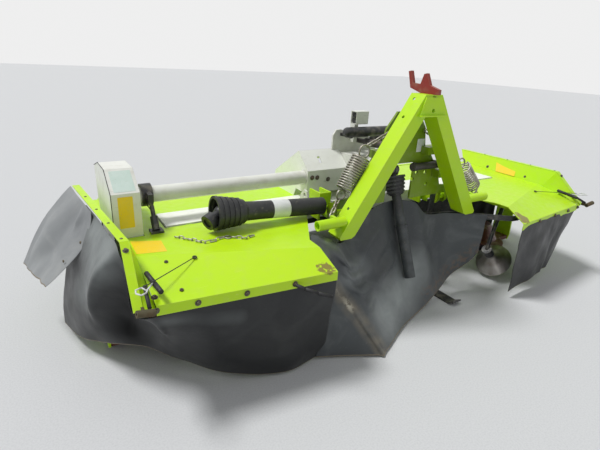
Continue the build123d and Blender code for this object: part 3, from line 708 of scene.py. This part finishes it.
# Each swag: from (along, down) to (along, down), width, depth outwards
CENTRE_SWAGS = [((0.16, 0.14), (0.34, 0.26), 0.032, 0.018), ((0.34, 0.26), (0.48, 0.18), 0.032, 0.018),
                ((0.15, 0.26), (0.40, 0.38), 0.028, 0.015), ((0.18, 0.40), (0.40, 0.52), 0.032, 0.020),
                ((0.40, 0.52), (0.56, 0.46), 0.032, 0.020), ((0.44, 0.44), (0.56, 0.32), 0.028, -0.012),
                ((0.18, 0.20), (0.38, 0.33), 0.023, -0.011), ((0.18, 0.34), (0.40, 0.46), 0.023, -0.012),
                ((0.26, 0.62), (0.38, 0.58), 0.023, 0.010)]
SKIRT_REAR_RIGHT = [
    ((0.665, -0.776, 0.474), (0.668, -0.785, 0.042)), ((1.0, -0.744, 0.474), (1.0, -0.747, 0.060)),
    ((1.20, -0.724, 0.472), (1.12, -0.728, 0.064)), ((1.388, -0.705, 0.468), (1.212, -0.703, 0.068)),
]
SKIRT_SIDE_RIGHT = [
    ((1.496, -0.050, 0.630), (1.531, -0.043, 0.062)), ((1.511, 0.15, 0.628), (1.541, 0.15, 0.042)),
    ((1.524, 0.356, 0.622), (1.549, 0.343, 0.062)),
]
SKIRT_FRONT = [((x, 0.643, 0.468), (x, 0.651, 0.062)) for x in (-1.389, -0.9, -0.3, 0.3, 0.9, 1.389)]

FLAP = [
    ((-1.508, -0.100, 0.646), (-1.725, -0.100, 0.331), (0.050, -0.02, 0.005)),
    ((-1.521, 0.050, 0.648), (-1.751, 0.020, 0.320), (0.030, 0, 0.005)),
    ((-1.533, 0.200, 0.644), (-1.778, 0.140, 0.311), (-0.005, 0, 0.015)),
    ((-1.5425, 0.362, 0.642), (-1.803, 0.262, 0.302), (-0.020, 0.005, 0.015)),
]

# Each fold: place along the cloth, width, depth, lean down the cloth, start and end down the cloth.
# A depth goes to the right of the cloth's run: outwards on the centre and right skirts, else inwards.
LEFT_FOLDS = [(0.06, 0.04, 0.012, 0.01, 0.1, 2.0), (0.35, 0.05, 0.012, 0.04, 0.0, 2.0),
              (0.425, 0.018, -0.022, 0.05, 0.0, 0.6), (0.615, 0.040, 0.026, 0.03, -0.1, 0.9),
              (0.685, 0.026, -0.022, 0.02, -0.1, 0.85)]
CENTRE_FOLDS = [(0.095, 0.014, 0.010, 0.12, 0.25, 2.0), (0.82, 0.04, -0.008, 0.02, 0.1, 2.0)]
RIGHT_FOLDS = [(0.2, 0.08, 0.008, 0.05, 0.2, 2.0), (0.6, 0.08, -0.006, 0.04, 0.2, 2.0)]
FRONT_FOLDS = [(0.08 + 0.105 * k, 0.02, 0.005 * (-1) ** k, 0.01, 0.1, 2.0) for k in range(9)]
FLAP_FOLDS = [(0.40, 0.10, 0.014, 0.1, 0.0, 0.95), (0.26, 0.05, -0.022, 0.1, 0.0, 0.45),
              (0.72, 0.12, -0.010, 0.0, 0.1, 0.95)]

hang("cloth_rear_left", "skirt_rear_left", "frame", cloth_shaded, SKIRT_REAR_LEFT, LEFT_FOLDS,
     across=150, seed=1.0, bulge=0.012)
hang("cloth_centre", "skirt_centre", "frame", cloth_centre, SKIRT_CENTRE, CENTRE_FOLDS,
     across=150, seed=2.0, swags=CENTRE_SWAGS)
hang("cloth_rear_right", "skirt_rear_right", "frame", cloth_shaded, SKIRT_REAR_RIGHT,
     RIGHT_FOLDS, across=70, seed=3.0, bulge=0.006)
hang("cloth_side_right", "skirt_side_right", "frame", cloth_shaded, SKIRT_SIDE_RIGHT,
     RIGHT_FOLDS, across=40, seed=4.0)
hang("cloth_front", "skirt_front", "front_guard", cloth_shaded, SKIRT_FRONT, FRONT_FOLDS,
     across=160, seed=5.0)
hang("cloth_flap_left", "skirt_flap_left", "frame", cloth_lit, FLAP, FLAP_FOLDS,
     across=40, seed=6.0, down=40)


# Springs and their chains

COIL_RADIUS, COIL_WIRE = 0.0425, 0.0044
COIL_SIDES, COIL_STEPS = 10, 22     # vertices round the wire, sections in a turn
EYE_WIRE = 0.0045
LOW_EYE, HIGH_EYE = 0.060, 0.074              # sizes of the eyes at the coil's ends
LOW_EYE_AT, HIGH_EYE_AT = 0.030, 0.034        # from the coil's ends to the eyes' middles
LOW_CHAIN_AT, HIGH_CHAIN_AT = 0.024, 0.030    # from there to the chains' first links
CHAIN_WIDTH, CHAIN_WIRE = 0.026, 0.0042


def coil(name, low, high, turns):
    """Open coil of round wire from low to high."""
    low, high = place(*low), place(*high)
    matrix = from_to(low, high)
    steps = turns * COIL_STEPS
    bm = bmesh.new()
    rings = []
    for k in range(steps + 1):
        t = k / steps
        turn = 2 * math.pi * turns * t
        out = Vector((math.cos(turn), math.sin(turn), 0))
        centre = out * COIL_RADIUS + Z_AXIS * (high - low).length * t
        rings.append(add_ring(bm, matrix, centre, out, Z_AXIS, COIL_WIRE, COIL_SIDES))
    join_rings(bm, rings)
    close_ends(bm, rings)
    return piece(name, bm, spring_steel, "frame", True)


# Each spring: lower and upper end of the coil, far end of the lower and of the upper chain, turns
SPRINGS = {
    "left": ((-0.386, -0.412, 0.711), (-0.295, -0.412, 0.867), (-0.505, -0.478, 0.603),
             (-0.128, -0.4203, 0.985), 14),
    "right": ((0.646, -0.412, 0.614), (0.510, -0.412, 0.749), (0.704, -0.412, 0.557),
              (0.128, -0.4203, 0.985), 11),
}
for side, (low, high, foot, head, turns) in SPRINGS.items():
    made = coil(f"coil_{side}", low, high, turns)
    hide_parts(f"spring_{side}")
    axis = (Vector(high) - Vector(low)).normalized()
    low_eye, high_eye = Vector(low) - axis * LOW_EYE_AT, Vector(high) + axis * HIGH_EYE_AT
    bm = bmesh.new()
    for eye, size in ((low_eye, LOW_EYE), (high_eye, HIGH_EYE)):
        add_link(bm, Matrix.Translation(eye + SHIFT) @ facing(axis), size, size, EYE_WIRE)
    add_chain(bm, [foot, low_eye - axis * LOW_CHAIN_AT], CHAIN_WIDTH, CHAIN_WIRE)
    add_chain(bm, [high_eye + axis * HIGH_CHAIN_AT, head], CHAIN_WIDTH, CHAIN_WIRE)
    links = piece(f"spring_links_{side}", bm, spring_steel, "frame", True)
    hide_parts(f"spring_chains_{side}")


# Blank labels and signs

LABEL_THICK, HOOD_LABEL_THICK = 0.0006, 0.0005
HOOD_LABEL = [(-1.392, -0.395, 0.5502), (-1.276, -0.418, 0.5502), (-1.270, -0.302, 0.5502),
              (-1.388, -0.258, 0.5502)]
FLANGE_LABEL = [(1.4200, -0.0420, 0.5520), (1.4120, -0.2100, 0.5530), (1.4670, -0.1802, 0.6449),
                (1.4676, -0.0031, 0.6268)]
plate("label_box", panel(-1.415, -1.354, (-0.2152, 0.595), (-0.2152, 0.735)), LABEL_THICK,
      yellow_label, "frame")
plate("label_chamfer", panel(-1.424, -1.336, (-0.2062, 0.7541), (-0.1086, 0.8207)), LABEL_THICK,
      mint_label, "frame")
plate("label_hood", HOOD_LABEL, HOOD_LABEL_THICK, yellow_label, "frame")
plate("label_headstock", panel(0.094, 0.150, (-0.4062, 0.867), (-0.4062, 0.939)), LABEL_THICK,
      white_label, "frame")
plate("label_flange", FLANGE_LABEL, LABEL_THICK, yellow_label, "frame")


# Seams of the belt box and the white band on the stowed shaft

SEAM_X, SEAM_RADIUS = -1.4402, 0.0016
SEAM = [(-0.2152, 0.502), (-0.2152, 0.748), (-0.098, 0.8282), (0.060, 0.8242), (0.200, 0.7822)]
bm = bmesh.new()
add_rods(bm, [(SEAM_X, y, z) for y, z in SEAM], SEAM_RADIUS, 8)
piece("box_seam", bm, rubber, "frame")

SHAFT_A, SHAFT_B = Vector((-1.026, -0.296, 0.637)), Vector((-0.440, -0.314, 0.602))
BAND_RADIUS, BAND_EDGE, BAND_BEVEL = 0.0446, 0.0443, 0.0008
band_from, band_to = SHAFT_A.lerp(SHAFT_B, 0.49), SHAFT_A.lerp(SHAFT_B, 0.645)
band = (band_to - band_from).length
bm = bmesh.new()
add_turned(bm, Matrix.Translation(band_from + SHIFT) @ facing(band_to - band_from),
           [(BAND_EDGE, 0), (BAND_RADIUS, BAND_BEVEL), (BAND_RADIUS, band - BAND_BEVEL), (BAND_EDGE, band)],
           40)
piece("shaft_label", bm, white_label, "frame", True)


# Painted shade: a dark rubber sheet under the beam, behind the headstock, standing in for the shade there

SHADE_SHEET_THICK = 0.004
plate("shade_sheet", panel(-0.10, 0.90, (-0.168, 0.470), (-0.156, 0.270)), SHADE_SHEET_THICK, rubber, "frame")


# Couplings in the hose holder

COUPLING_RADIUS, BORE_RADIUS, BORE_DEPTH = 0.0155, 0.010, 0.004
bm = bmesh.new()
for height in (0.992, 1.024):
    start, end = place(-0.078, -0.062, height), place(0.004, -0.062, height)
    add_turned(bm, from_to(start, end), [(BORE_RADIUS, BORE_DEPTH), (COUPLING_RADIUS, 0),
                                         (COUPLING_RADIUS, (end - start).length)], 16)
piece("hose_couplings", bm, rubber, "frame", True)


# Wires, straps, loops and bars of the hoods' latches

def mirrored(points, side):
    """Points of the right side, or with side = -1 of the left one."""
    return [(side * x, y, z) for x, y, z in points]


LATCH_WIRE = [(1.424, -0.668, 0.551), (1.194, -0.513, 0.5476)]
LATCH_STRAP = [(1.420, -0.640, 0.536), (1.428, -0.736, 0.503)]
LATCH_LOOP = [(1.424, -0.690, 0.546), (1.436, -0.670, 0.550), (1.458, -0.682, 0.552),
              (1.462, -0.706, 0.552), (1.448, -0.724, 0.552), (1.430, -0.712, 0.550),
              (1.418, -0.684, 0.546), (1.392, -0.640, 0.541)]
LOOP_END = [(1.424, -0.690, 0.546), (1.396, -0.648, 0.541)]
LATCH_BAR = [(1.394, -0.557, 0.543), (1.377, -0.700, 0.533)]
WIRE_RADIUS, STRAP_RADIUS, LOOP_RADIUS = 0.0018, 0.007, 0.0028
EYELET = 0.020

bm = bmesh.new()
for side in (-1, 1):
    wire = mirrored(LATCH_WIRE, side)
    add_rods(bm, wire, WIRE_RADIUS, 8)
    upright = facing((0, -0.25, 1)) @ Matrix.Rotation(math.pi / 2, 4, "X")
    add_link(bm, Matrix.Translation(place(*wire[1])) @ upright, EYELET, EYELET, LOOP_RADIUS)
    add_rods(bm, mirrored(LATCH_STRAP, side), STRAP_RADIUS, 10)
piece("latch_wires", bm, rubber, "frame", True)

bm = bmesh.new()
for side in (-1, 1):
    add_rods(bm, mirrored(LATCH_LOOP, side), LOOP_RADIUS, 8)
    add_rods(bm, mirrored(LOOP_END, side), LOOP_RADIUS, 8)
piece("latch_loops", bm, white_label, "frame", True)

BAR_END, BAR_THICK, BAR_NECK = 0.0085, 0.0095, 0.0075     # radii of the bar's parts
bm = bmesh.new()
for side in (-1, 1):
    start, end = (place(*point) for point in mirrored(LATCH_BAR, side))
    long = (end - start).length
    half = [(BAR_END, 0), (BAR_THICK, 0.002), (BAR_THICK, long * 0.45), (BAR_NECK, long * 0.46)]
    add_turned(bm, from_to(start, end), half + [(radius, long - at) for radius, at in half[::-1]], 16)
bars = piece("latch_bars", bm, rubber, "frame", True)
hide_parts("latches")


# Chain on the left hood and strap on its lip

HOOD_CHAIN_WIDTH, HOOD_CHAIN_WIRE = 0.020, 0.0026
RING_LENGTH, RING_WIDTH, RING_WIRE = 0.036, 0.034, 0.0032
LIP_STRAP_RADIUS = 0.008
bm = bmesh.new()
add_chain(bm, [(-1.207, -0.295, 0.5545), (-1.165, -0.340, 0.5545), (-1.112, -0.410, 0.5545),
               (-1.060, -0.402, 0.5545), (-1.014, -0.383, 0.5545)], HOOD_CHAIN_WIDTH, HOOD_CHAIN_WIRE)
lying = Matrix.Rotation(math.pi / 2, 4, "X")
add_link(bm, Matrix.Translation(place(-1.000, -0.392, 0.5535)) @ lying, RING_LENGTH, RING_WIDTH, RING_WIRE)
add_chain(bm, [(-0.985, -0.400, 0.5545), (-0.930, -0.440, 0.5545), (-0.888, -0.420, 0.5545)],
          HOOD_CHAIN_WIDTH, HOOD_CHAIN_WIRE)
piece("hood_chain", bm, spring_steel, "frame", True)

bm = bmesh.new()
add_rods(bm, [(-0.868, -0.762, 0.466), (-0.840, -0.795, 0.456), (-0.793, -0.820, 0.438),
              (-0.736, -0.840, 0.417)], LIP_STRAP_RADIUS, 10)
piece("lip_strap", bm, rubber, "frame", True)


# Bolts and rivets

# Directions in which the faces under them look
FLAT_UP, REAR = (0, 0, 1), (0, -1, 0)
LEDGE, FLAP_FACE, INNER_FACE = (0, -0.55, 0.83), (-0.85, -0.4, 0.3), (-0.868, 0.057, 0.493)
hood_bolts = [((-1.302, -0.490, 0.5358), (0, -0.27, 1)), ((-1.296, -0.662, 0.4972), (0, -0.21, 1)),
              ((-1.394, -0.663, 0.4960), (0, -0.21, 1))]
bolts("bolts_hood_left", "frame", hood_bolts)
ledge_bolts = [((-1.4518, -0.5246, 0.6335), LEDGE)]
bolts("bolts_flange_ledge", "frame", ledge_bolts + other_side(ledge_bolts), 0.008)
rivets("rivets_flap", "frame", [((-1.640, -0.086, 0.434), FLAP_FACE), ((-1.566, -0.112, 0.520), FLAP_FACE)],
       0.007)
flange_rivets = [((-1.5009, 0.137, 0.6455), FLAT_UP), ((-1.4836, -0.080, 0.6502), FLAT_UP),
                 ((-1.4677, -0.280, 0.6546), FLAT_UP), ((-1.4540, -0.470, 0.6588), FLAT_UP)]
rivets("rivets_flange_left", "frame", flange_rivets)
rivets("rivets_flange_right", "frame", other_side(flange_rivets))
bolts("bolts_flange_face", "frame", [((1.4405, 0.0486, 0.5675), INNER_FACE),
                                     ((1.4208, -0.2887, 0.5723), INNER_FACE)], 0.0075)
COVER_FACE = -0.1042
cover_bolts = [(-0.372, 0.690), (-0.338, 0.688), (-0.262, 0.672), (-0.160, 0.655)]
bolts("bolts_cover", "frame", [((x, COVER_FACE, z), REAR) for x, z in cover_bolts], 0.009)

LIP_INNER, LIP_REAR, LIP_SLOPE = 0.667, -0.7785, 0.0969    # inner end, y there, rise of y outwards
LIP_BOLT_HEIGHT, LIP_NORMAL = 0.468, (0.09, -1, 0)
lip_bolts = []
for x in (-1.401, -1.255, -1.068, -0.866):
    y = LIP_REAR + (abs(x) - LIP_INNER) * LIP_SLOPE
    lip_bolts.append(((x, y, LIP_BOLT_HEIGHT), LIP_NORMAL))
bolts("bolts_lip_left", "frame", lip_bolts)
bolts("bolts_lip_right", "frame", other_side(lip_bolts))


# Floor, camera and light

FLOOR_HALF = 30
corners = [(FLOOR_HALF * x, FLOOR_HALF * y, 0) for x, y in ((-1, -1), (1, -1), (1, 1), (-1, 1))]
floor_mesh = bpy.data.meshes.new("floor")
floor_mesh.from_pydata(corners, [], [(0, 1, 2, 3)])
floor = bpy.data.objects.new("floor", floor_mesh)
bpy.context.scene.collection.objects.link(floor)
floor_paint = Shader("floor_pale", srgb(207, 208, 209), 0.9)
floor_paint.mix(floor_paint.ramp(floor_paint.noise(140, 3), 0.4, 0.7, 0.3), srgb(176, 177, 179))
floor_mesh.materials.append(floor_paint.done())

CAMERA_AT = (-1.690, -2.044, 1.322)
YAW, PITCH, ROLL = math.radians(32.90), math.radians(21.42), math.radians(3.26)
FOCAL_PX, PICTURE_PX = 430.8, 600
SENSOR = 36
right = Vector((math.cos(YAW), -math.sin(YAW), 0))
level = Vector((math.sin(YAW), math.cos(YAW), 0))
ahead = level * math.cos(PITCH) + Vector((0, 0, -math.sin(PITCH)))
above = level * math.sin(PITCH) + Vector((0, 0, math.cos(PITCH)))
camera_right = right * math.cos(ROLL) + above * math.sin(ROLL)
camera_up = above * math.cos(ROLL) - right * math.sin(ROLL)
camera_data = bpy.data.cameras.new("camera")
camera_data.sensor_width = SENSOR
camera_data.lens = FOCAL_PX / PICTURE_PX * SENSOR
camera_data.clip_start = 0.05
camera = bpy.data.objects.new("camera", camera_data)
turn = Matrix((camera_right, camera_up, -ahead)).transposed().to_4x4()
camera.matrix_world = Matrix.Translation(place(*CAMERA_AT)) @ turn
bpy.context.scene.collection.objects.link(camera)
bpy.context.scene.camera = camera


def sun(name, aim, strength, angle):
    """Soft sunlight that shines along aim."""
    data = bpy.data.lights.new(name, "SUN")
    data.energy = strength
    data.angle = math.radians(angle)
    made = bpy.data.objects.new(name, data)
    made.matrix_world = facing(Vector(aim) * -1)
    bpy.context.scene.collection.objects.link(made)


sun("key", (0.42, -0.30, -1.0), 2.45, 14)
sun("fill", (0.3, 0.8, -0.6), 0.15, 60)

# Pale sky for the light, and a white backdrop where the camera or a reflection sees it
world = bpy.data.worlds.new("studio")
world.use_nodes = True
bpy.context.scene.world = world
nodes, links = world.node_tree.nodes, world.node_tree.links
sky = nodes["Background"]
sky.inputs["Color"].default_value = (0.96, 0.98, 1.0, 1)
sky.inputs["Strength"].default_value = 0.40
backdrop = nodes.new("ShaderNodeBackground")
backdrop.inputs["Color"].default_value = (1, 1, 1, 1)
backdrop.inputs["Strength"].default_value = 0.86
rays = nodes.new("ShaderNodeLightPath")
either = nodes.new("ShaderNodeMixShader")
seen = rays.outputs["Is Camera Ray"]
for kind in ("Is Glossy Ray", "Is Transmission Ray"):
    most = nodes.new("ShaderNodeMath")
    most.operation = "MAXIMUM"
    links.new(seen, most.inputs[0])
    links.new(rays.outputs[kind], most.inputs[1])
    seen = most.outputs[0]
links.new(seen, either.inputs[0])
links.new(sky.outputs[0], either.inputs[1])
links.new(backdrop.outputs[0], either.inputs[2])
links.new(either.outputs[0], nodes["World Output"].inputs["Surface"])
bpy.context.scene.view_settings.view_transform = "Standard"
